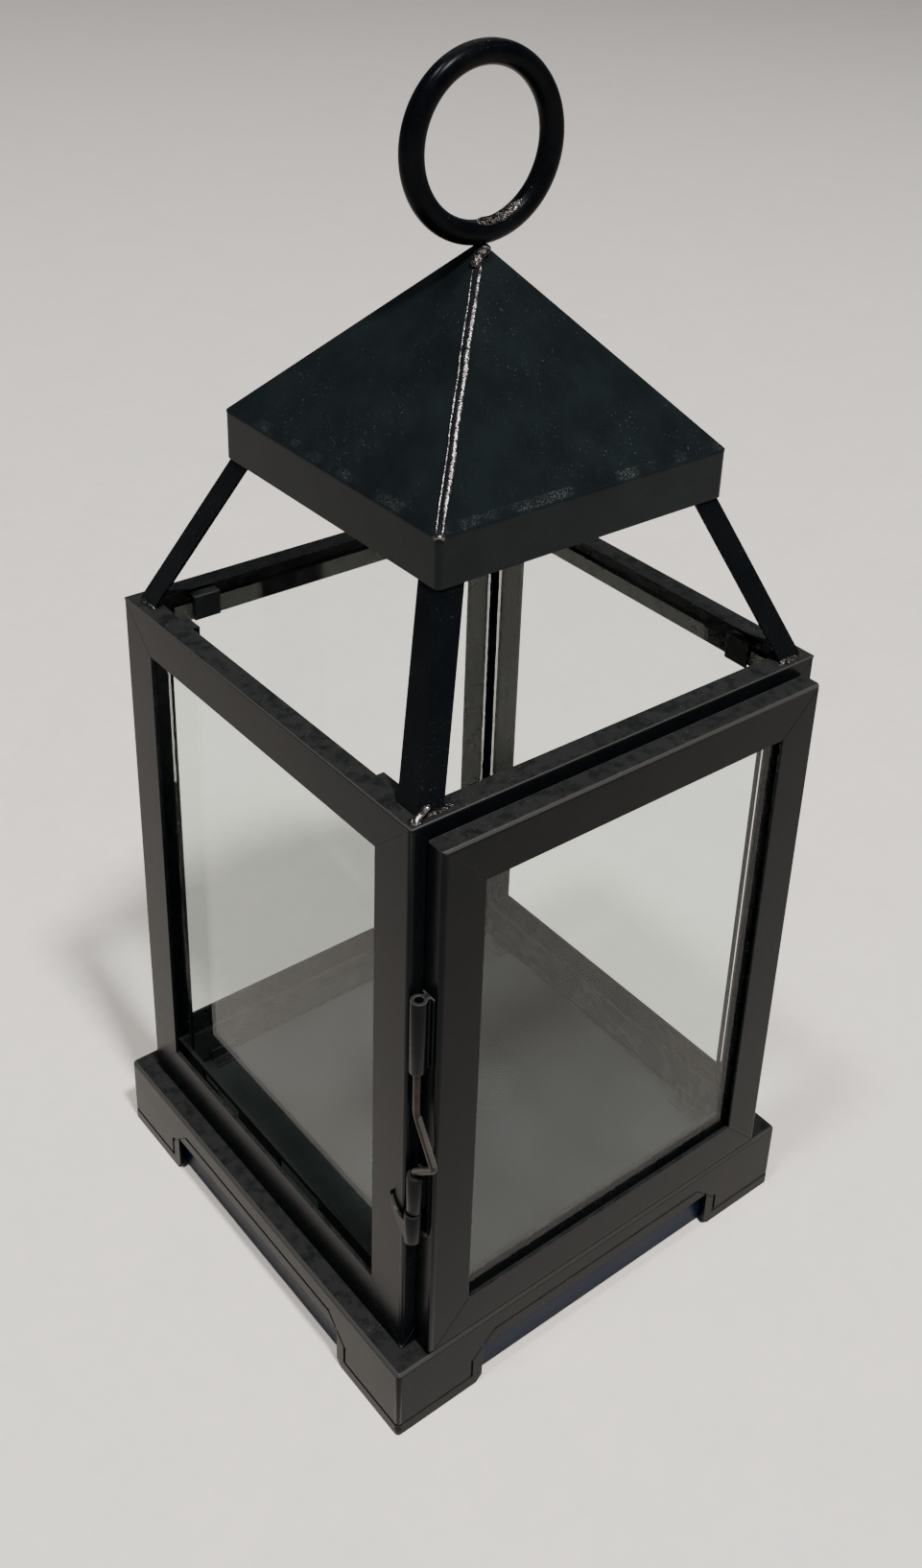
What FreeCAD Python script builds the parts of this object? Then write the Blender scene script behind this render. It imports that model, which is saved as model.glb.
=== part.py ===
import FreeCAD, Part
import math
import os

# Small metal candle lantern: folded black sheet body with glass panes, a hinged glazed door on
# the front (-Y), a sliding wire latch at its left edge, four sloping angle strips that carry a
# pyramid cap, and a round hanging ring. Millimetres, +Z up, origin at the bottom centre.

V = FreeCAD.Vector

# Driving dimensions
sheet = 0.8             # thickness of all folded sheet
ledgeStep = 4.2         # the plinth stands this far out from the body
baseHeight = 17.5       # plinth height, top of the ledge
notchHalf = 32.0        # half width of the notch between two feet
notchHeight = 9.9       # height of that notch
footChamfer = 1.5       # chamfer on the lower inner corner of each foot
lineInset = 2.8         # pressed line, distance from the lower edge
lineWidth = 0.7         # pressed line, width
lineDepth = 0.3         # pressed line, depth
ledgeInside = 6.0       # the ledge reaches this far under the body, inside its faces
rimGap = 1.2            # gap between plinth wall and the rim of the floor pan
rimLift = 0.6           # the rim stops this far above the table

bodyHalf = 49.0         # half width of the glazed body, left, right and back
frontSetBack = 0.7      # the front face is this much nearer the middle than the other three
bodyTop = 141.5         # top of the body
legWidth = 10.2         # visible face of a corner post
topFace = 9.2           # visible face of a top rail
topLeg = 4.7            # level leg of a top rail
bottomFace = 10.8       # visible face of a bottom rail
channelDepth = 4.7      # depth of the bottom channel, outside to inside
lipHeight = 8.2         # inner lip of the bottom channel
cornerRound = 0.9       # outside radius of a folded corner
slotLength = 15.5       # slots in the inner lip
slotHeight = 3.6
slotMargin = 1.5        # strip left above a slot
slotPitch = 32.0
slotOffset = 10.4       # middle of the slot pair, from the middle of the rail

glassThick = 1.6
glassPlay = 0.1         # clearance round each pane
paneTop = 2.2           # pane stops this far below the body's top
paneLap = 2.4           # a pane reaches this far over the legs of the posts beside it
tabWidth = 6.0
tabThick = 0.5
tabFoot = 3.0           # part of a tab that is soldered down
tabDrop = 5.5           # a tab under a top rail hangs down this far
tabRise = 3.5           # a tab on the floor pan stands up this far
tabOffset = 34.0        # middle of a tab, from the middle of its pane

ringRadius = 15.4       # to the middle of the rod
rodRadius = 2.25
capHalf = 33.4
capBottom = 174.0
capEdge = 183.4         # where the skirt of the cap turns into the slope
capTip = 219.4          # where the four slopes would meet
capFlat = 0.6           # the tip is flattened by this much under the ring
capRound = 1.2
rafterInset = 2.4       # outer corner of a rafter's foot, inside the body's faces
rafterLeg = 5.6
rafterInside = 3.0      # length of a rafter hidden inside the cap

doorInset = 3.2         # the door is this much narrower than the body on each side
doorLift = 0.5          # gap between the ledge and the door
doorDrop = 3.1          # the door ends this far below the body's top
doorFace = 9.4          # visible face of the door frame
doorGap = 0.3           # between the door and the body's front
doorRecess = 1.3        # the pane lies this far behind the door's face
doorSpare = 1.1         # the door's side walls reach this far behind its clips
mitreOpen = 0.45        # the mitre at the latch side's lower corner gapes by this much outside
clipLength = 7.0
clipThick = 0.4
clipReach = 4.0         # how far a clip reaches over the door's pane
clipHeights = (52.0, 112.0)

hingeBarrel = 1.1       # outside radius of a hinge's knuckles
pinRadius = 0.6
wireClearance = 0.08    # running clearance of a pin or of the latch's wire
hingeLeaf = 0.3         # thickness of the hinges' leaves
hingeFront = 1.4        # hinge axis, in front of the body's front face
knuckle = 5.0
knuckleGap = 0.3
hingeHeights = (46.0, 112.0)

barrelRadius = 1.55     # outside radius of the latch's barrels
wireRadius = 0.75
leafThick = 0.4         # thickness of the latch's leaves
latchSide = 2.25        # latch axis, outside the door's side wall
latchFront = 1.9        # latch axis, in front of the body's front face
leafFront = 1.7         # a leaf of the latch reaches this far in front of the axis

upperBarrel = (90.8, 107.0)
lowerBarrel = (56.8, 65.6)
lowerTail = 8.0         # the lower leaf reaches this far below its barrel
keeperSpan = (49.4, 56.2)
keeperBore = 1.2
keeperWall = 0.45
keeperShift = 0.3
wireTop = 97.2
wireEnd = 50.4
bendTop = 81.0          # the wire leaves the barrels' line here
crankOut = 5.0          # forward reach of the crank
crankSide = 0.5
crankHeight = 70.6      # height of the crank's end
bendLow = 66.4          # the wire comes back to the barrels' line here
tailThick = 0.6
tailReach = 5.4

# Values that follow from the ones above
baseHalf = bodyHalf + ledgeStep
ledgeOpening = bodyHalf - ledgeInside
bodyFront = bodyHalf - frontSetBack
rafterFoot = bodyHalf - rafterInset
doorHalf = bodyHalf - doorInset
doorBottom = baseHeight + doorLift
doorTop = bodyTop - doorDrop
doorDepth = doorRecess + glassThick + 2 * glassPlay + clipThick + doorSpare
doorBack = bodyFront + doorGap
doorFront = doorBack + doorDepth
hingeX = doorHalf + hingeLeaf + hingeBarrel
hingeY = -(bodyFront + hingeFront)
paneOutside = bodyHalf - channelDepth - glassPlay
paneHalf = bodyHalf - legWidth + paneLap
latchX = doorHalf + latchSide
latchY = -(bodyFront + latchFront)
capFlatZ = capTip - capFlat
rafterHead = capHalf - sheet
ringCentre = capFlatZ + rodRadius + ringRadius

os.makedirs("parts", exist_ok=True)


def export(name, shape):
    """Write one node, as its solid or as a group of separate solids."""
    shape = shape.removeSplitter()
    shape.exportStep("parts/%s.step" % name)
    print(name, len(shape.Solids), round(shape.Volume, 1), shape.isValid())


def block(x0, x1, y0, y1, z0, z1):
    return Part.makeBox(x1 - x0, y1 - y0, z1 - z0, V(x0, y0, z0))


def prism(points, direction):
    """Extrude a closed outline of 3-D points along a vector."""
    return Part.Face(Part.makePolygon(points + [points[0]])).extrude(direction)


def turned(shape, quarter):
    """Copy of a shape, turned about the lantern's axis by quarter turns."""
    copy = shape.copy()
    copy.rotate(V(0, 0, 0), V(0, 0, 1), 90 * quarter)
    return copy


def mirrored(shape):
    return shape.mirror(V(0, 0, 0), V(1, 0, 0))


def vertical(edge):
    first, last = edge.Vertexes[0].Point, edge.Vertexes[-1].Point
    return abs(first.x - last.x) < 0.001 and abs(first.y - last.y) < 0.001


def rounded(shape, radius, wanted):
    """Round every straight edge that the test picks."""
    edges = [e for e in shape.Edges if len(e.Vertexes) == 2 and wanted(e)]
    return shape.makeFillet(radius, edges)


def pressedLine():
    """Cutter for the pressed line on the front wall: it follows the lower edge and the notch."""
    low = lineInset
    foot = notchHalf + lineInset
    high = notchHeight + lineInset
    half = lineWidth / 2
    path = [(-baseHalf, low), (-foot, low), (-foot, low + 4.4), (-notchHalf + 2.9, high),
            (notchHalf - 2.9, high), (foot, low + 4.4), (foot, low), (baseHalf, low)]
    cutter = None
    for (x0, z0), (x1, z1) in zip(path, path[1:]):
        run = math.hypot(x1 - x0, z1 - z0)
        bar = block(-half, run + half, -baseHalf, -baseHalf + lineDepth, -half, half)
        bar.rotate(V(0, 0, 0), V(0, 1, 0), -math.degrees(math.atan2(z1 - z0, x1 - x0)))
        bar.translate(V(x0, 0, z0))
        cutter = bar if cutter is None else cutter.fuse(bar)
    return cutter


def notchCutter():
    """Cutter for the gap between two feet of the front wall, with chamfered foot corners."""
    wide = notchHalf + footChamfer
    outline = [V(-wide, 0, -1), V(-wide, 0, 0), V(-notchHalf, 0, footChamfer),
               V(-notchHalf, 0, notchHeight), V(notchHalf, 0, notchHeight),
               V(notchHalf, 0, footChamfer), V(wide, 0, 0), V(wide, 0, -1)]
    cutter = prism(outline, V(0, 4 * sheet, 0))
    cutter.translate(V(0, -baseHalf - sheet, 0))
    return cutter


def baseSkirt():
    outer = block(-baseHalf, baseHalf, -baseHalf, baseHalf, 0, baseHeight)
    outer = rounded(outer, cornerRound, lambda e: vertical(e) or e.CenterOfMass.z > baseHeight - 0.01)
    inner = baseHalf - sheet
    shell = outer.cut(block(-inner, inner, -inner, inner, -1, baseHeight - sheet))
    shell = shell.cut(block(-ledgeOpening, ledgeOpening, -ledgeOpening, ledgeOpening, 0, baseHeight + 1))
    for quarter in range(4):
        shell = shell.cut(turned(notchCutter(), quarter))
        shell = shell.cut(turned(pressedLine(), quarter))
    return shell


def floorPan():
    half = baseHalf - sheet - rimGap
    inner = half - sheet
    top = baseHeight - sheet
    pan = block(-half, half, -half, half, rimLift, top)
    return pan.cut(block(-inner, inner, -inner, inner, 0, top - sheet))


def post(front):
    """Corner post at the left side; front posts and back posts differ only in their face's place."""
    face = bodyFront if front else bodyHalf
    side = -1 if front else 1
    outer = block(-bodyHalf, -bodyHalf + legWidth, 0, legWidth, baseHeight, bodyTop)
    outer = rounded(outer, cornerRound,
                    lambda e: vertical(e) and e.CenterOfMass.x < -bodyHalf + 0.01 and e.CenterOfMass.y < 0.01)
    angle = outer.cut(block(-bodyHalf + sheet, 0, sheet, legWidth + 1, 0, bodyTop + 1))
    if not front:
        angle = angle.mirror(V(0, 0, 0), V(0, 1, 0))
    angle.translate(V(0, side * face, 0))
    return angle.cut(postMitres(front))


def postMitres(front):
    """Everything of the rails' space at the top and bottom of a post, bounded by the mitre lines."""
    face = bodyFront if front else bodyHalf
    side = -1 if front else 1
    cut = None
    for level, reach, tall in ((bodyTop, 1, topFace), (baseHeight, -1, bottomFace)):
        far = legWidth + 1
        slope = tall / legWidth
        onSide = prism([V(-bodyHalf - 1, side * face, level),
                        V(-bodyHalf - 1, side * (face - far), level),
                        V(-bodyHalf - 1, side * (face - far), level - reach * far * slope)],
                       V(1 + sheet, 0, 0))
        onFace = prism([V(-bodyHalf, side * (face + 1), level),
                        V(-bodyHalf + far, side * (face + 1), level),
                        V(-bodyHalf + far, side * (face + 1), level - reach * far * slope)],
                       V(0, -side * (1 + sheet), 0))
        both = onSide.fuse(onFace)
        cut = both if cut is None else cut.fuse(both)
    return cut


def mitredRail(profile, ends, face, level, tall):
    """Rail along X on the -Y side, cut at both ends by the same mitres as the posts."""
    rail = prism([V(ends[0], y, z) for y, z in profile], V(ends[1] - ends[0], 0, 0))
    for side, corner in zip((-1, 1), ends):
        outside = corner + side * 2
        inside = corner - side * legWidth
        wedge = prism([V(corner, -face - 1, level), V(inside, -face - 1, tall),
                       V(outside, -face - 1, tall), V(outside, -face - 1, level)], V(0, 1 + sheet, 0))
        rail = rail.cut(wedge)
        depth = topLeg + channelDepth
        plan = prism([V(corner, -face, 0), V(corner - side * depth, depth - face, 0),
                      V(outside, depth - face, 0), V(outside, -face, 0)], V(0, 0, 2 * bodyTop))
        rail = rail.cut(plan)
    return rail


def topRail(face, ends):
    """Top rail on the -Y side between two body corners, before it is turned into place."""
    y0 = -face
    low = bodyTop - topFace
    profile = [(y0, low), (y0, bodyTop), (y0 + topLeg, bodyTop), (y0 + topLeg, bodyTop - sheet),
               (y0 + sheet, bodyTop - sheet), (y0 + sheet, low)]
    rail = mitredRail(profile, ends, face, bodyTop, low)
    return rounded(rail, cornerRound / 2,
                   lambda e: abs(e.CenterOfMass.y - y0) < 0.001 and abs(e.CenterOfMass.z - bodyTop) < 0.001)


def bottomRail(face, ends, lip):
    """Bottom rail that stands on the ledge: a channel with a slotted inner lip, or a plain angle."""
    y0 = -face
    y1 = y0 + channelDepth
    z0 = baseHeight
    high = z0 + bottomFace
    profile = [(y0, z0), (y0, high), (y0 + sheet, high), (y0 + sheet, z0 + sheet)]
    if lip:
        profile += [(y1 - sheet, z0 + sheet), (y1 - sheet, z0 + lipHeight), (y1, z0 + lipHeight), (y1, z0)]
    else:
        profile += [(y1, z0 + sheet), (y1, z0)]
    rail = mitredRail(profile, ends, face, z0, high)
    if not lip:
        return rail
    slotTop = z0 + lipHeight - slotMargin
    for sign in (-1, 1):
        middle = sign * slotPitch / 2 - slotOffset
        rail = rail.cut(block(middle - slotLength / 2, middle + slotLength / 2, y1 - 2 * sheet, y1 + 1,
                              slotTop - slotHeight, slotTop))
    return rail


def pane():
    """Fixed pane on the -Y side: it stands on the ledge, behind the bottom channel's inner lip."""
    return block(-paneHalf, paneHalf, -paneOutside, -paneOutside + glassThick, baseHeight + glassPlay,
                 bodyTop - paneTop)


def paneTabs():
    """Bent tabs that hold each fixed pane from inside: two under its top rail, two on the floor pan."""
    tabs = []
    back = -paneOutside + glassThick + glassPlay
    under = bodyTop - sheet
    floor = baseHeight - sheet
    for quarter in (1, 2, 3):
        for middle in (-tabOffset, tabOffset):
            x0, x1 = middle - tabWidth / 2, middle + tabWidth / 2
            level = block(x0, x1, topLeg - bodyHalf - tabFoot, back, under - tabThick, under)
            drop = block(x0, x1, back, back + tabThick, under - tabDrop, under)
            foot = block(x0, x1, back, back + tabFoot, floor, floor + tabThick)
            riser = block(x0, x1, back, back + tabThick, floor, floor + tabRise)
            tabs += [turned(level.fuse(drop), quarter), turned(foot.fuse(riser), quarter)]
    return Part.makeCompound(tabs)


def rafter():
    """Angle strip from the front left corner of the body up into the cap."""
    run = (rafterFoot - rafterHead) / (capBottom - bodyTop)
    rise = capBottom + rafterInside - bodyTop
    c = -rafterFoot
    outline = [V(c, c, bodyTop), V(c + rafterLeg, c, bodyTop), V(c + rafterLeg, c + sheet, bodyTop),
               V(c + sheet, c + sheet, bodyTop), V(c + sheet, c + rafterLeg, bodyTop), V(c, c + rafterLeg, bodyTop)]
    return prism(outline, V(run * rise, run * rise, rise))


def pyramid(half, bottom, edge, tip):
    """Solid of a square block with a pyramid on it."""
    low = block(-half, half, -half, half, bottom, edge)
    corners = [V(-half, -half, edge), V(half, -half, edge), V(half, half, edge), V(-half, half, edge)]
    peak = V(0, 0, tip)
    faces = [Part.Face(Part.makePolygon(corners + [corners[0]]))]
    for i in range(4):
        faces.append(Part.Face(Part.makePolygon([corners[i], corners[(i + 1) % 4], peak, corners[i]])))
    return low.fuse(Part.makeSolid(Part.makeShell(faces))).removeSplitter()


def roofCap():
    outer = pyramid(capHalf, capBottom, capEdge, capTip)
    outer = rounded(outer, capRound, lambda e: vertical(e) or abs(e.CenterOfMass.z - capEdge) < 0.001)
    slope = math.atan2(capTip - capEdge, capHalf)
    drop = sheet / math.cos(slope)
    inner = capHalf - sheet
    innerTip = capTip - drop
    innerEdge = innerTip - inner * math.tan(slope)
    shell = outer.cut(pyramid(inner, capBottom - 1, innerEdge, innerTip))
    return shell.cut(block(-2, 2, -2, 2, capFlatZ, capTip + 1))


def hangingRing():
    return Part.makeTorus(ringRadius, rodRadius, V(0, 0, ringCentre), V(0, 1, 0))


def doorMember(length):
    """Folded door strip along X with its outer edge at Z 0, face towards -Y, mitred at both ends."""
    y0, y1 = -doorFront, -doorBack
    half = length / 2
    profile = [(y0, 0), (y1, 0), (y1, sheet), (y0 + sheet, sheet), (y0 + sheet, doorFace), (y0, doorFace)]
    strip = prism([V(-half, y, z) for y, z in profile], V(length, 0, 0))
    strip = rounded(strip, cornerRound, lambda e: abs(e.CenterOfMass.y - y0) < 0.001
                    and abs(e.CenterOfMass.x) < 0.001 and abs(e.CenterOfMass.z) < 0.001)
    for side in (-1, 1):
        wedge = prism([V(side * half, y0 - 1, 0), V(side * (half - doorFace - 1), y0 - 1, doorFace + 1),
                       V(side * (half + 1), y0 - 1, doorFace + 1), V(side * (half + 1), y0 - 1, 0)],
                      V(0, doorDepth + 2, 0))
        strip = strip.cut(wedge)
    return strip


def mitreGape(half):
    """Thin wedge cut from the left end of the bottom rail, where the mitre doesn't close."""
    y = -doorFront - 1
    return prism([V(-half - 1, y, -1), V(-half + mitreOpen, y, 0), V(-half + doorFace, y, doorFace),
                  V(-half - 1, y, doorFace)], V(0, doorDepth + 2, 0))


def doorParts():
    wide = 2 * doorHalf
    tall = doorTop - doorBottom
    middle = (doorTop + doorBottom) / 2
    placed = {}
    for name, length, angle, x, z in (("door_rail_bottom", wide, 0, 0, doorBottom),
                                      ("door_rail_top", wide, 180, 0, doorTop),
                                      ("door_stile_left", tall, 90, -doorHalf, middle),
                                      ("door_stile_right", tall, -90, doorHalf, middle)):
        member = doorMember(length)
        if name == "door_rail_bottom":
            member = member.cut(mitreGape(length / 2))
        member.rotate(V(0, 0, 0), V(0, 1, 0), angle)
        member.translate(V(x, 0, z))
        placed[name] = member
    return placed


def doorGlass():
    inset = sheet + glassPlay
    back = -doorFront + doorRecess + glassPlay + glassThick
    return block(-doorHalf + inset, doorHalf - inset, back - glassThick, back,
                 doorBottom + inset, doorTop - inset)


def doorClips():
    """Clips on the door frame: a spacer in front of its pane and a flat clip behind it, six times."""
    face = -doorFront + sheet
    front = -doorFront + doorRecess
    back = front + 2 * glassPlay + glassThick
    reach = doorHalf - sheet
    clips = []
    for y0, y1 in ((face, front), (back, back + clipThick)):
        for height in clipHeights:
            for side in (-1, 1):
                x0, x1 = sorted((side * reach, side * (reach - clipReach)))
                clips.append(block(x0, x1, y0, y1, height, height + clipLength))
        for level, inward in ((doorBottom + sheet, 1), (doorTop - sheet, -1)):
            z0, z1 = sorted((level, level + inward * clipReach))
            clips.append(block(-clipLength / 2, clipLength / 2, y0, y1, z0, z1))
    return Part.makeCompound(clips)


def tube(x, y, z0, z1, outer, bore):
    return Part.makeCylinder(outer, z1 - z0, V(x, y, z0)).cut(
        Part.makeCylinder(bore, z1 - z0, V(x, y, z0)))


def hingeLevels(height):
    """Lower ends of a hinge's three knuckles."""
    step = knuckle + knuckleGap
    return [height - 1.5 * knuckle - knuckleGap + i * step for i in range(3)]


def hingePostLeaves():
    """Leaves on the right post's front face, beside the door; their knuckles grip the pins."""
    leaves = []
    for height in hingeHeights:
        z = hingeLevels(height)
        leaf = None
        for level in (z[0], z[2]):
            foot = block(hingeX - 0.8 * hingeBarrel, hingeX + 0.8 * hingeBarrel, hingeY, -bodyFront,
                         level, level + knuckle)
            foot = foot.cut(Part.makeCylinder(pinRadius, knuckle, V(hingeX, hingeY, level)))
            foot = foot.fuse(tube(hingeX, hingeY, level, level + knuckle, hingeBarrel, pinRadius))
            leaf = foot if leaf is None else leaf.fuse(foot)
        plate = block(hingeX - hingeBarrel, bodyHalf - cornerRound, -bodyFront - hingeLeaf, -bodyFront,
                      z[0], z[2] + knuckle)
        plate = plate.cut(block(0, bodyHalf, -bodyFront - hingeLeaf, -bodyFront,
                                z[1] - knuckleGap, z[1] + knuckle + knuckleGap))
        leaves.append(leaf.fuse(plate).removeSplitter())
    return Part.makeCompound([solid for leaf in leaves for solid in leaf.Solids])


def hingeDoorLeaves():
    leaves = []
    bore = pinRadius + wireClearance
    for height in hingeHeights:
        z = hingeLevels(height)
        leaf = block(doorHalf, doorHalf + hingeLeaf, hingeY - 2 * hingeBarrel, -doorBack, z[1], z[1] + knuckle)
        leaf = leaf.fuse(leafWeb(hingeX, hingeY, hingeBarrel, z[1], z[1] + knuckle))
        leaf = leaf.fuse(tube(hingeX, hingeY, z[1], z[1] + knuckle, hingeBarrel, bore))
        leaves.append(leaf.removeSplitter())
    return Part.makeCompound(leaves)


def leafWeb(x, y, radius, low, high):
    """Joins a barrel on the right-hand side to the leaf on the door's side wall."""
    return block(doorHalf, x - radius + 0.3, y - radius / 2, y + radius / 2, low, high)


def hingePins():
    pins = []
    for height in hingeHeights:
        z = hingeLevels(height)
        pins.append(Part.makeCylinder(pinRadius, z[2] + knuckle - z[0], V(hingeX, hingeY, z[0])))
    return Part.makeCompound(pins)


def latchBarrel(span, tail):
    """Rolled barrel with a leaf on the door's left side wall; a tail ends the leaf in a half round."""
    low, high = span
    front = latchY - leafFront
    middle = (front - doorBack) / 2
    wide = (-doorBack - front) / 2
    leaf = block(doorHalf, doorHalf + leafThick, front, -doorBack, low - tail, high)
    if tail > 0:
        leaf = leaf.cut(block(doorHalf, doorHalf + leafThick, front, -doorBack, low - tail, low - tail + wide))
        leaf = leaf.fuse(Part.makeCylinder(wide, leafThick, V(doorHalf, middle, low - tail + wide), V(1, 0, 0)))
    barrel = tube(latchX, latchY, low, high, barrelRadius, wireRadius + wireClearance)
    return mirrored(leaf.fuse(leafWeb(latchX, latchY, barrelRadius, low, high)).fuse(barrel))


def latchBolt():
    """Cranked wire: straight in the upper barrel, out in front as a grip, back into the lower barrel."""
    x, y = -latchX, latchY
    grip = V(x + crankSide, y - crankOut, crankHeight)
    points = [V(x, y, wireTop), V(x, y, bendTop), grip, V(x, y, bendLow), V(x, y, wireEnd)]
    return rodAlong(points, [6.0, 1.3, 1.2])


def rodAlong(points, radii):
    """Round wire along straight runs that are joined by tangent arcs."""
    edges = []
    last = points[0]
    for before, corner, after, radius in zip(points, points[1:], points[2:], radii):
        u = (before - corner).normalize()
        w = (after - corner).normalize()
        half = u.getAngle(w) / 2
        reach = radius / math.tan(half)
        start = corner + u * reach
        end = corner + w * reach
        centre = corner + (u + w).normalize() * (radius / math.sin(half))
        middle = centre + (corner - centre).normalize() * radius
        edges.append(Part.LineSegment(last, start).toShape())
        edges.append(Part.Arc(start, middle, end).toShape())
        last = end
    edges.append(Part.LineSegment(last, points[-1]).toShape())
    path = Part.Wire(edges)
    disc = Part.Wire([Part.Circle(points[0], points[1] - points[0], wireRadius).toShape()])
    return path.makePipeShell([disc], True, True, 2)


def latchKeeper():
    """Rolled eye for the bolt's lower end, with a curved tail on the left post."""
    low, high = keeperSpan
    outer = keeperBore + keeperWall
    x = -latchX - keeperShift
    y = latchY
    left = x - outer
    plate = prism([V(left, y, low), V(-bodyHalf - tailThick, y + tailReach, low),
                   V(-bodyHalf, y + tailReach, low), V(left + tailThick, y, low)], V(0, 0, 2 * (high - low)))
    foot = V(left - 1, y - 0.5, low + 0.6)
    belly = V(left - 1, y + 0.55 * tailReach, low + 2.6)
    tip = V(left - 1, y + tailReach, high + 1.8)
    hollow = V(left - 1, y + 0.55 * tailReach, high - 1.5)
    root = V(left - 1, y - 0.5, high - 0.6)
    edges = [Part.Arc(foot, belly, tip).toShape(), Part.Arc(tip, hollow, root).toShape(),
             Part.LineSegment(root, foot).toShape()]
    fin = Part.Face(Part.Wire(edges)).extrude(V(5, 0, 0))
    bore = Part.makeCylinder(outer - keeperWall / 2, 2 * high, V(x, y, 0))
    eye = tube(x, y, low, high, outer, keeperBore)
    post = block(-bodyHalf, 0, -bodyFront, 0, 0, bodyTop)
    return eye.fuse(plate.common(fin).cut(bore)).cut(post)


export("base_skirt", baseSkirt())
export("floor_pan", floorPan())

postFrontLeft = post(True)
postBackLeft = post(False)
export("post_front_left", postFrontLeft)
export("post_front_right", mirrored(postFrontLeft))
export("post_back_left", postBackLeft)
export("post_back_right", mirrored(postBackLeft))

# Rails are made on the -Y side and turned: the side rails end at the front face, nearer the middle
across = (-bodyHalf, bodyHalf)
leftSide = (-bodyHalf, bodyFront)
export("top_rail_front", topRail(bodyFront, across))
export("top_rail_back", turned(topRail(bodyHalf, across), 2))
topLeft = turned(topRail(bodyHalf, leftSide), -1)
export("top_rail_left", topLeft)
export("top_rail_right", mirrored(topLeft))
export("bottom_rail_front", bottomRail(bodyFront, across, False))
export("bottom_rail_back", turned(bottomRail(bodyHalf, across, True), 2))
bottomLeft = turned(bottomRail(bodyHalf, leftSide, True), -1)
export("bottom_rail_left", bottomLeft)
export("bottom_rail_right", mirrored(bottomLeft))

for name, quarter in (("left", -1), ("back", 2), ("right", 1)):
    export("glass_" + name, turned(pane(), quarter))
export("pane_tabs", paneTabs())

for name, quarter in (("front_left", 0), ("front_right", 1), ("back_right", 2), ("back_left", 3)):
    export("rafter_" + name, turned(rafter(), quarter))
export("roof_cap", roofCap())
export("hanging_ring", hangingRing())

for name, member in doorParts().items():
    export(name, member)
export("door_glass", doorGlass())
export("door_clips", doorClips())

export("hinge_post_leaves", hingePostLeaves())
export("hinge_door_leaves", hingeDoorLeaves())
export("hinge_pins", hingePins())
export("latch_barrel_upper", latchBarrel(upperBarrel, 0))
export("latch_barrel_lower", latchBarrel(lowerBarrel, lowerTail))
export("latch_bolt", latchBolt())
export("latch_keeper", latchKeeper())
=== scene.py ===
import bmesh
import bpy
import math
from mathutils import Matrix, Vector, noise


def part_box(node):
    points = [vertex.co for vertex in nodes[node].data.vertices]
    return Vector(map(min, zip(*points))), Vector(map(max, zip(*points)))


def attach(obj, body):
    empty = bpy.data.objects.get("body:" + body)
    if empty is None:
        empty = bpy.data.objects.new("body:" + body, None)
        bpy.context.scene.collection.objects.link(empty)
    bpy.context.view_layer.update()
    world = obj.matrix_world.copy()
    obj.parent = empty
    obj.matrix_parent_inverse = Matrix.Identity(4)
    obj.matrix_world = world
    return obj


# Small black candle lantern with glass panes, seen from above its front left corner. Metres, +Z up.
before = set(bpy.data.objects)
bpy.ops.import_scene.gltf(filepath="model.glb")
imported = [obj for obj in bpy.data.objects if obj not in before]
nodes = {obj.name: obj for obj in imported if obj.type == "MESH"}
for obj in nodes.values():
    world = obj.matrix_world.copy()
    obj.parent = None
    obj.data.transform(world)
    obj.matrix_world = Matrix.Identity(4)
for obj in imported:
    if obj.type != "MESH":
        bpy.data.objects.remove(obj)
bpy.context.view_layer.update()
mm = 0.001
print("frame loaded:", len(nodes), "nodes")


def linear(hexColour):
    # sRGB hex to the linear colour that a shader wants
    parts = [int(hexColour[i:i + 2], 16) / 255 for i in (1, 3, 5)]
    return [c / 12.92 if c <= 0.04045 else ((c + 0.055) / 1.055) ** 2.4 for c in parts] + [1.0]


def addNode(tree, kind, settings=None, links=None):
    node = tree.nodes.new(kind)
    for key, value in (settings or {}).items():
        if isinstance(key, int) or key in node.inputs:
            node.inputs[key].default_value = value
        else:
            setattr(node, key, value)
    for key, source in (links or {}).items():
        tree.links.new(source, node.inputs[key])
    return node


def newMaterial(name):
    material = bpy.data.materials.new(name)
    material.use_nodes = True
    tree = material.node_tree
    tree.nodes.clear()
    place = addNode(tree, "ShaderNodeTexCoord")
    return material, tree, place.outputs["Object"]


def perMillimetre(tree, place, size, stretch=(1, 1, 1)):
    # object coordinates scaled so that one unit is that many millimetres
    factors = [1 / (mm * size * s) for s in stretch]
    return addNode(tree, "ShaderNodeVectorMath", {"operation": "MULTIPLY", 1: factors}, {0: place}).outputs[0]


def mathOf(tree, operation, first, second):
    # one operation on two sockets, or on a socket and a number
    node = addNode(tree, "ShaderNodeMath", {"operation": operation})
    for slot, value in enumerate((first, second)):
        if isinstance(value, (int, float)):
            node.inputs[slot].default_value = value
        else:
            tree.links.new(value, node.inputs[slot])
    return node.outputs[0]


def speckles(tree, place, size, span, stretch=(1, 1, 1), detail=2):
    # noise of that size in millimetres, faded in between the two values of the span
    grain = addNode(tree, "ShaderNodeTexNoise", {"Scale": 1.0, "Detail": detail, "Roughness": 0.6},
                    {"Vector": perMillimetre(tree, place, size, stretch)})
    return addNode(tree, "ShaderNodeMapRange", {"From Min": span[0], "From Max": span[1]},
                   {"Value": grain.outputs["Fac"]}).outputs[0]


def ramp(tree, value, span, low, high):
    # the value's span stretched to run from low to high
    return addNode(tree, "ShaderNodeMapRange", {"From Min": span[0], "From Max": span[1], "To Min": low,
                                                "To Max": high}, {"Value": value}).outputs[0]


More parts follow.
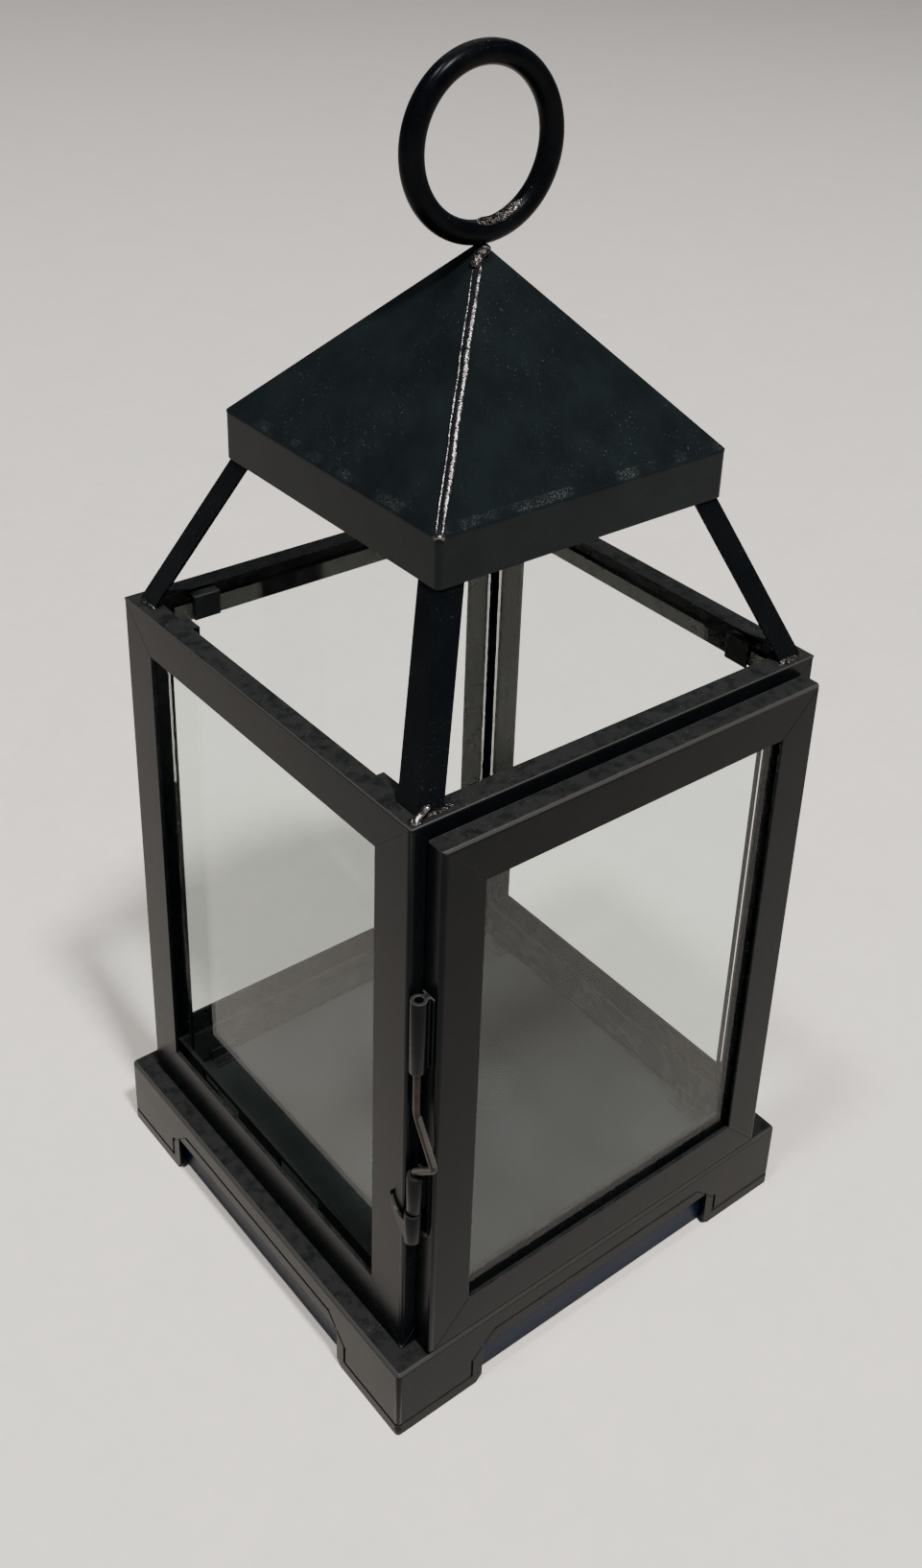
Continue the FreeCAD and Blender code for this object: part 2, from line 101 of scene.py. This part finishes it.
def between(tree, value, span):
    # one where the value lies inside the span, zero elsewhere
    return mathOf(tree, "MULTIPLY", mathOf(tree, "GREATER_THAN", value, span[0]),
                  mathOf(tree, "LESS_THAN", value, span[1]))


def blended(tree, cover, below, colour):
    # a hex colour laid over a socket or over another hex colour, as thickly as the cover says
    settings = {"data_type": "RGBA", 7: linear(colour)}
    links = {0: cover}
    if isinstance(below, str):
        settings[6] = linear(below)
    else:
        links[6] = below
    return addNode(tree, "ShaderNodeMix", settings, links).outputs[2]


def softBump(tree, height, depth, under=None):
    # a bump that many millimetres deep, on top of another one if given
    links = {"Height": height}
    if under is not None:
        links["Normal"] = under
    return addNode(tree, "ShaderNodeBump", {"Distance": depth * mm}, links).outputs["Normal"]


# Steel sheet with black baked lacquer, folded by hand: nearly black with a satin gloss that mirrors
# pale things, faces a little wavy, fine orange peel, faint rubs, and dust where a face looks up.
# Sizes and heights are in millimetres; each span says where a noise fades in.
lacquerLook = {"colour": "#06080a", "stain": "#0a0c0d", "stainSize": 9, "stainSpan": (0.35, 0.75),
               "roughLow": 0.25, "roughHigh": 0.3, "specular": 0.06,
               "waveSize": 42, "waveHeight": 0.14, "peelSize": 1.1, "peelHeight": 0.004,
               "rub": "#34322f", "rubSize": 3.2, "rubSpan": (0.72, 0.78), "rubCover": 0.16, "rubRough": 0.12,
               "rubRuns": ((0.06, 1.6, 1.0), (1.4, 0.05, 0.8)),
               "inside": "#1d1f1e", "insideHalf": 47.9, "insideTop": 27.5,
               "film": "#1f201e", "filmSize": 2.6, "filmDetail": 3, "filmSpan": (0.35, 0.7), "filmLeast": 0.45,
               # the fold colour is a painted highlight along folds that look up
               "foldHighlight": "#5a5852", "foldHighlightCover": 0.3, "foldTop": 141.8, "foldSpan": (0.3, 0.93),
               "dust": "#a9a59c", "dustSize": 0.42, "dustSpan": (0.66, 0.78), "dustCover": 0.3,
               "dustPatch": 13, "patchSpan": (0.42, 0.7), "steepShare": 0.15,
               "creaseSpan": (183.6, 185.0), "creaseGrain": 0.3, "creaseGrainSpan": (0.5, 0.78),
               "creasePatch": 9, "creasePatchSpan": (0.46, 0.66)}


def bakedLacquer(name, look):
    material, tree, place = newMaterial(name)
    stain = speckles(tree, place, look["stainSize"], look["stainSpan"], detail=5)
    tone = blended(tree, stain, look["colour"], look["stain"])
    # thin rubs from handling, in two directions
    rubs = mathOf(tree, "MAXIMUM", *[speckles(tree, place, look["rubSize"], look["rubSpan"], run)
                                     for run in look["rubRuns"]])
    tone = blended(tree, mathOf(tree, "MULTIPLY", rubs, look["rubCover"]), tone, look["rub"])
    # the low inside of the body is coloured a lighter grey
    inMillimetres = perMillimetre(tree, place, 1)
    away = addNode(tree, "ShaderNodeVectorMath", {"operation": "ABSOLUTE"}, {0: inMillimetres})
    spot = addNode(tree, "ShaderNodeSeparateXYZ", {}, {0: away.outputs[0]})
    nearWall = mathOf(tree, "MAXIMUM", spot.outputs["X"], spot.outputs["Y"])
    greyerInside = mathOf(tree, "MULTIPLY", mathOf(tree, "LESS_THAN", nearWall, look["insideHalf"]),
                 mathOf(tree, "LESS_THAN", spot.outputs["Z"], look["insideTop"]))
    tone = blended(tree, greyerInside, tone, look["inside"])
    # level faces keep a mottled film of fine dust
    shape = addNode(tree, "ShaderNodeNewGeometry")
    facing = addNode(tree, "ShaderNodeSeparateXYZ", {}, {0: shape.outputs["Normal"]})
    level = ramp(tree, facing.outputs["Z"], (0.8, 0.99), 0.0, 1.0)
    mottle = speckles(tree, place, look["filmSize"], look["filmSpan"], detail=look["filmDetail"])
    film = mathOf(tree, "MULTIPLY", level, mathOf(tree, "ADD", look["filmLeast"], mottle))
    tone = blended(tree, film, tone, look["film"])
    # painted highlight: folds that look up get pale lines in their colour, standing in for the light they catch
    # from above
    foldHighlight = mathOf(tree, "MULTIPLY", between(tree, facing.outputs["Z"], look["foldSpan"]),
                  mathOf(tree, "LESS_THAN", spot.outputs["Z"], look["foldTop"]))
    tone = blended(tree, mathOf(tree, "MULTIPLY", foldHighlight, look["foldHighlightCover"]), tone, look["foldHighlight"])
    # dust grains lie in patches, and most of them on faces that look up
    upward = ramp(tree, facing.outputs["Z"], (0.1, 0.9), look["steepShare"], 1.0)
    grains = mathOf(tree, "MULTIPLY", speckles(tree, place, look["dustSize"], look["dustSpan"]),
                    speckles(tree, place, look["dustPatch"], look["patchSpan"]))
    # and some stay in the crease where the cap's slopes meet its skirt
    crease = between(tree, spot.outputs["Z"], look["creaseSpan"])
    creaseGrains = speckles(tree, place, look["creaseGrain"], look["creaseGrainSpan"])
    caught = mathOf(tree, "MULTIPLY", mathOf(tree, "MULTIPLY", crease, creaseGrains),
                    speckles(tree, place, look["creasePatch"], look["creasePatchSpan"]))
    grains = mathOf(tree, "MAXIMUM", grains, caught)
    dust = mathOf(tree, "MULTIPLY", mathOf(tree, "MULTIPLY", grains, upward), look["dustCover"])
    tone = blended(tree, dust, tone, look["dust"])
    gloss = ramp(tree, stain, (0.0, 1.0), look["roughLow"], look["roughHigh"])
    rough = mathOf(tree, "ADD", mathOf(tree, "MULTIPLY", rubs, look["rubRough"]),
                   mathOf(tree, "ADD", gloss, dust))
    wave = addNode(tree, "ShaderNodeTexNoise", {"Scale": 1.0, "Detail": 1},
                   {"Vector": perMillimetre(tree, place, look["waveSize"])})
    peel = addNode(tree, "ShaderNodeTexNoise", {"Scale": 1.0, "Detail": 2},
                   {"Vector": perMillimetre(tree, place, look["peelSize"])})
    wavy = softBump(tree, wave.outputs["Fac"], look["waveHeight"])
    bumpy = softBump(tree, peel.outputs["Fac"], look["peelHeight"], wavy)
    shader = addNode(tree, "ShaderNodeBsdfPrincipled", {"IOR": 1.5, "Specular IOR Level": look["specular"]},
                     {"Base Color": tone, "Roughness": rough, "Normal": bumpy})
    addNode(tree, "ShaderNodeOutputMaterial", {}, {"Surface": shader.outputs[0]})
    return material


# Soda-lime float glass, cut and left plain: clear, with faint smears, dust grains and hairline scratches
glassLook = {"tint": "#f7faf8", "film": "#cfd2cf", "sheen": 0.3,
             "smearSize": 22, "smearSpan": (0.3, 0.75), "smearCover": 0.006,
             "grainSize": 0.55, "grainSpan": (0.79, 0.84), "grainCover": 0.5,
             "scratchSize": 2.4, "scratchSpan": (0.76, 0.79), "scratchRun": (0.12, 0.12, 1.9),
             "scratchCover": 0.16}


def floatGlass(name, look):
    material, tree, place = newMaterial(name)
    smear = mathOf(tree, "MULTIPLY", speckles(tree, place, look["smearSize"], look["smearSpan"], detail=4),
                   look["smearCover"])
    grains = mathOf(tree, "MULTIPLY", speckles(tree, place, look["grainSize"], look["grainSpan"]),
                    look["grainCover"])
    hairlines = speckles(tree, place, look["scratchSize"], look["scratchSpan"], look["scratchRun"])
    scratches = mathOf(tree, "MULTIPLY", hairlines, look["scratchCover"])
    cover = mathOf(tree, "MAXIMUM", mathOf(tree, "MAXIMUM", smear, grains), scratches)
    tint = linear(look["tint"])
    bright = addNode(tree, "ShaderNodeBsdfPrincipled", {"Base Color": tint, "Roughness": 0.0, "IOR": 1.5,
                                                        "Transmission Weight": 1.0})
    # the sheen is less than real glass has: at full strength the table's image hides the floor behind
    calm = addNode(tree, "ShaderNodeBsdfRefraction", {"Color": tint, "Roughness": 0.0, "IOR": 1.5})
    clear = addNode(tree, "ShaderNodeMixShader", {0: look["sheen"]}, {1: calm.outputs[0], 2: bright.outputs[0]})
    film = addNode(tree, "ShaderNodeBsdfDiffuse", {"Color": linear(look["film"])})
    soiled = addNode(tree, "ShaderNodeMixShader", {}, {0: cover, 1: clear.outputs[0], 2: film.outputs[0]})
    # lamps and the light inside the body pass straight through
    ray = addNode(tree, "ShaderNodeLightPath")
    passes = mathOf(tree, "MAXIMUM", ray.outputs["Is Shadow Ray"], ray.outputs["Is Diffuse Ray"])
    through = addNode(tree, "ShaderNodeBsdfTransparent", {"Color": tint})
    pane = addNode(tree, "ShaderNodeMixShader", {}, {0: passes, 1: soiled.outputs[0], 2: through.outputs[0]})
    addNode(tree, "ShaderNodeOutputMaterial", {}, {"Surface": pane.outputs[0]})
    return material


# Soft lead-free solder, wiped and partly lacquered over: tin ridges with dull grey hollows
solderLook = {"bright": "#938e8b", "dull": "#3a3635", "lumpSize": 1.3, "lumpSpan": (0.36, 0.6), "rough": 0.36,
              "lumpShine": 0.12, "lumpHeight": 0.12}


def tinSolder(name, look):
    material, tree, place = newMaterial(name)
    lumps = speckles(tree, place, look["lumpSize"], look["lumpSpan"], detail=3)
    tone = blended(tree, lumps, look["dull"], look["bright"])
    rough = mathOf(tree, "ADD", mathOf(tree, "MULTIPLY", lumps, -look["lumpShine"]), look["rough"])
    shader = addNode(tree, "ShaderNodeBsdfPrincipled", {"Metallic": 1.0},
                     {"Base Color": tone, "Roughness": rough,
                      "Normal": softBump(tree, lumps, look["lumpHeight"])})
    addNode(tree, "ShaderNodeOutputMaterial", {}, {"Surface": shader.outputs[0]})
    return material


blackSheet = bakedLacquer("blackSheet", lacquerLook)
# The latch's wire and the hinge pins are rubbed by use: thinner lacquer, with the brown of the steel
rubbedWire = bakedLacquer("rubbedWire", dict(lacquerLook, colour="#0b0908", stain="#21170f", stainSize=2.5,
                                             rubCover=0.35, specular=0.14))
# The floor is the same sheet, bluer and more matt, with a soft grey film of dust
floorSheet = bakedLacquer("floorSheet", dict(lacquerLook, colour="#07121f", stain="#091626", stainSize=16,
                                             roughLow=0.3, roughHigh=0.4, dustCover=0.4, film="#272a29",
                                             filmSize=14, filmDetail=1, peelHeight=0.001, rubCover=0.05))
# The cap is the same lacquer, given a less deep black: a painted reflection, standing in for the pale light its
# slopes mirror
capPaintedLighter = bakedLacquer("capPaintedLighter", dict(lacquerLook, colour="#0e1213", stain="#14191a"))
# The ring is the deepest black, with the least gloss
ringRod = bakedLacquer("ringRod", dict(lacquerLook, colour="#040507", specular=0.03))
clearPane = floatGlass("clearPane", glassLook)
seamSolder = tinSolder("seamSolder", solderLook)
wipedSolder = tinSolder("wipedSolder", dict(solderLook, bright="#57524e", dull="#121212", lumpSize=0.7))
for name, part in nodes.items():
    part.data.materials.clear()
    part.data.materials.append(clearPane if "glass" in name else blackSheet)
for name, material in (("floor_pan", floorSheet), ("roof_cap", capPaintedLighter), ("hanging_ring", ringRod),
                       ("latch_bolt", rubbedWire), ("hinge_pins", rubbedWire)):
    nodes[name].data.materials[0] = material
print("materials made")

# Folded edges and mitres are never knife sharp: a small bevel gives each its own line of light
edgeLook = {"width": 0.22, "segments": 2, "angle": 35, "weld": 0.001}
for name, part in nodes.items():
    if "glass" in name:
        continue
    weld = part.modifiers.new("weld", "WELD")
    weld.merge_threshold = edgeLook["weld"] * mm
    bevel = part.modifiers.new("edge", "BEVEL")
    bevel.width = edgeLook["width"] * mm
    bevel.segments = edgeLook["segments"]
    bevel.limit_method = "ANGLE"
    bevel.angle_limit = math.radians(edgeLook["angle"])
    bevel.harden_normals = False
print("edges softened")

# Solder along the seams: each run is a low uneven bead that lies on the two sheets it joins
beadLook = {"step": 0.7, "around": 10, "wander": 0.12, "wanderLength": 5, "swell": 0.22, "swellLength": 2.6,
            "blunt": 2.2, "seed": 7}
seamRuns = [
    # name, points, half width and height, all in mm
    ("cap_seam_solder", [(-32.6, -33.3, 184.0), (-14.0, -14.7, 203.9), (-1.6, -2.5, 216.9)], 0.5, 0.3),
    ("cap_seam_edge", [(-33.3, -32.5, 184.2), (-14.8, -13.9, 203.9), (-3.4, -2.4, 215.7)], 0.19, 0.16),
    ("cap_seam_foot", [(-33.6, -32.4, 183.4), (-33.2, -33.2, 183.9), (-32.4, -33.6, 183.4)], 0.5, 0.3),
    ("ring_solder_front", [(-3.4, -2.9, 215.9), (-1.6, -2.0, 217.7), (0.4, -1.9, 218.9)], 1.2, 0.8),
    ("front_rafter_seam", [(-47.9, -47.6, 141.5), (-46.6, -47.0, 142.3), (-44.4, -47.1, 143.9)], 0.6, 0.45),
    ("front_rafter_lump", [(-48.2, -46.6, 141.3), (-46.9, -46.9, 141.6), (-46.0, -47.6, 141.4)], 1.0, 0.5),
    ("front_rafter_wipe", [(-44.5, -46.9, 141.4), (-42.0, -46.7, 141.5), (-38.6, -46.6, 141.4)], 0.8, 0.16),
    ("left_rafter_solder", [(-46.5, 40.6, 141.6), (-46.8, 44.5, 141.7), (-45.9, 46.6, 141.6)], 0.7, 0.35),
    ("right_rafter_solder", [(40.6, -46.5, 141.6), (44.5, -46.8, 141.7), (46.4, -45.6, 141.6)], 0.8, 0.4),
    ("ledge_solder", [(-9.0, -51.6, 17.45), (-4.0, -51.8, 17.45), (2.0, -51.6, 17.45)], 0.35, 0.1)]
solderUp = Vector((-0.4, -0.4, 0.8))


def alongRun(points, step):
    # evenly spaced places on a path through the points, with the direction at each
    places = []
    for first, last in zip(points, points[1:]):
        count = max(1, round((last - first).length / step))
        places += [(first.lerp(last, i / count), (last - first).normalized()) for i in range(count)]
    return places + [(points[-1], places[-1][1])]


def solderBead(name, points, wide, tall, outward, material):
    bead = bmesh.new()
    rings = []
    path = alongRun([Vector(p) * mm for p in points], beadLook["step"] * mm)
    for index, (centre, ahead) in enumerate(path):
        across = ahead.cross(outward).normalized()
        up = across.cross(ahead).normalized()
        if up.dot(outward) < 0:
            up = -up
        # both ends run out thin
        end = math.sin(math.pi * (index + 0.35) / (len(path) - 0.3))
        taper = min(1.0, beadLook["blunt"] * max(end, 0.05)) ** 0.5
        uneven = noise.noise(centre / (beadLook["swellLength"] * mm) + Vector((beadLook["seed"], 0, 0)))
        lump = 1 + beadLook["swell"] * uneven
        drift = across * beadLook["wander"] * mm * noise.noise(centre / (beadLook["wanderLength"] * mm))
        ring = []
        for step in range(beadLook["around"]):
            angle = 2 * math.pi * step / beadLook["around"]
            offset = across * math.cos(angle) * wide * taper * lump + up * math.sin(angle) * tall * taper * lump
            ring.append(bead.verts.new(centre + drift + offset * mm))
        rings.append(ring)
    for low, high in zip(rings, rings[1:]):
        for step in range(len(low)):
            nextStep = (step + 1) % len(low)
            bead.faces.new((low[step], low[nextStep], high[nextStep], high[step]))
    bead.faces.new(rings[0][::-1])
    bead.faces.new(rings[-1])
    bmesh.ops.recalc_face_normals(bead, faces=bead.faces)
    for face in bead.faces:
        face.smooth = True
    mesh = bpy.data.meshes.new(name)
    bead.to_mesh(mesh)
    bead.free()
    mesh.materials.append(material)
    piece = bpy.data.objects.new(name, mesh)
    bpy.context.scene.collection.objects.link(piece)
    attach(piece, "lantern")


for name, points, wide, tall in seamRuns:
    solderBead(name, points, wide, tall, solderUp, seamSolder if "seam" in name else wipedSolder)

# Solder that ran up the inside of the hanging ring, to the right of the cap's tip
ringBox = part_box("hanging_ring")
ringMiddle = (ringBox[0] + ringBox[1]) / (2 * mm)
ringLook = {"inside": 13.35, "forward": -0.9, "from": -97, "to": -52, "steps": 9, "wide": 1.1, "tall": 0.3}
ringRun = []
for step in range(ringLook["steps"] + 1):
    angle = math.radians(ringLook["from"] + (ringLook["to"] - ringLook["from"]) * step / ringLook["steps"])
    ringRun.append((ringLook["inside"] * math.cos(angle), ringLook["forward"],
                    ringMiddle.z + ringLook["inside"] * math.sin(angle)))
solderBead("ring_solder_inside", ringRun, ringLook["wide"], ringLook["tall"], Vector((0, -0.5, 1)),
           wipedSolder)
print("solder run")

# Stage: a plain pale table top of honed stone, softly mottled, wide enough for every view
stageLook = {"table": "#e6ddcf", "vein": "#d9d2c6", "patchSize": 28, "patchSpan": (0.35, 0.7),
             "grainSize": 5, "grainSpan": (0.3, 0.7), "roughLow": 0.5, "roughHigh": 0.65, "half": 3.0}


def paleTable(look):
    material, tree, place = newMaterial("paleTable")
    patches = speckles(tree, place, look["patchSize"], look["patchSpan"], detail=5)
    grain = speckles(tree, place, look["grainSize"], look["grainSpan"], detail=3)
    mottle = mathOf(tree, "MULTIPLY", mathOf(tree, "ADD", patches, grain), 0.5)
    tone = blended(tree, mottle, look["table"], look["vein"])
    rough = ramp(tree, mottle, (0.0, 1.0), look["roughLow"], look["roughHigh"])
    shader = addNode(tree, "ShaderNodeBsdfPrincipled", {}, {"Base Color": tone, "Roughness": rough})
    addNode(tree, "ShaderNodeOutputMaterial", {}, {"Surface": shader.outputs[0]})
    return material


tableMesh = bpy.data.meshes.new("table")
reach = stageLook["half"]
corners = [(-reach, -reach, 0), (reach, -reach, 0), (reach, reach, 0), (-reach, reach, 0)]
tableMesh.from_pydata(corners, [], [(0, 1, 2, 3)])
table = bpy.data.objects.new("table", tableMesh)
bpy.context.scene.collection.objects.link(table)
tableMesh.materials.append(paleTable(stageLook))

# Two soft lamps high up on the viewer's side, so the shadows lie behind the lantern, in a pale room
lightLook = {"key": {"at": (-0.16, -1.0, 2.07), "size": 0.26, "power": 84.0, "colour": "#fbfaff"},
             "fill": {"at": (-0.69, -0.1, 2.2), "size": 0.26, "power": 37.0, "colour": "#fbfaff"},
             "room": "#c3ccd4", "roomStrength": 0.41, "ceilingStrength": 0.18, "wallSpan": (0.12, 0.5)}
for name in ("key", "fill"):
    look = lightLook[name]
    lamp = bpy.data.lights.new(name, "AREA")
    lamp.shape = "DISK"
    lamp.size = look["size"]
    lamp.energy = look["power"]
    lamp.color = linear(look["colour"])[:3]
    holder = bpy.data.objects.new(name, lamp)
    holder.location = look["at"]
    holder.rotation_euler = (-Vector(look["at"])).to_track_quat("-Z", "Y").to_euler()
    bpy.context.scene.collection.objects.link(holder)

world = bpy.data.worlds.new("room")
bpy.context.scene.world = world
world.use_nodes = True
tree = world.node_tree
tree.nodes.clear()
place = addNode(tree, "ShaderNodeTexCoord")
height = addNode(tree, "ShaderNodeSeparateXYZ", {}, {0: place.outputs["Generated"]})
wall = ramp(tree, height.outputs["Z"], lightLook["wallSpan"], lightLook["roomStrength"],
            lightLook["ceilingStrength"])
sky = addNode(tree, "ShaderNodeBackground", {"Color": linear(lightLook["room"])}, {"Strength": wall})
addNode(tree, "ShaderNodeOutputWorld", {}, {"Surface": sky.outputs[0]})
print("stage lit")

# Camera: looks down over the front left corner
cameraLook = {"at": (-181.16, -224.27, 302.31), "turn": 41.297, "down": 27.330, "roll": 3.126,
              "lens": 38.235, "shift": (-0.0437, -0.1327), "nearest": 10}
turn = math.radians(cameraLook["turn"])
down = math.radians(cameraLook["down"])
roll = math.radians(cameraLook["roll"])
forward = Vector((math.cos(down) * math.sin(turn), math.cos(down) * math.cos(turn), -math.sin(down)))
right = Vector((math.cos(turn), -math.sin(turn), 0))
upward = right.cross(forward)
rolledRight = math.cos(roll) * right + math.sin(roll) * upward
rolledUp = math.cos(roll) * upward - math.sin(roll) * right
lensData = bpy.data.cameras.new("camera")
lensData.lens = cameraLook["lens"]
lensData.shift_x, lensData.shift_y = cameraLook["shift"]
lensData.clip_start = cameraLook["nearest"] * mm
camera = bpy.data.objects.new("camera", lensData)
camera.matrix_world = Matrix.Translation(Vector(cameraLook["at"]) * mm) @ Matrix(
    (rolledRight, rolledUp, -forward)).transposed().to_4x4()
bpy.context.scene.collection.objects.link(camera)
bpy.context.scene.camera = camera
print("camera set")
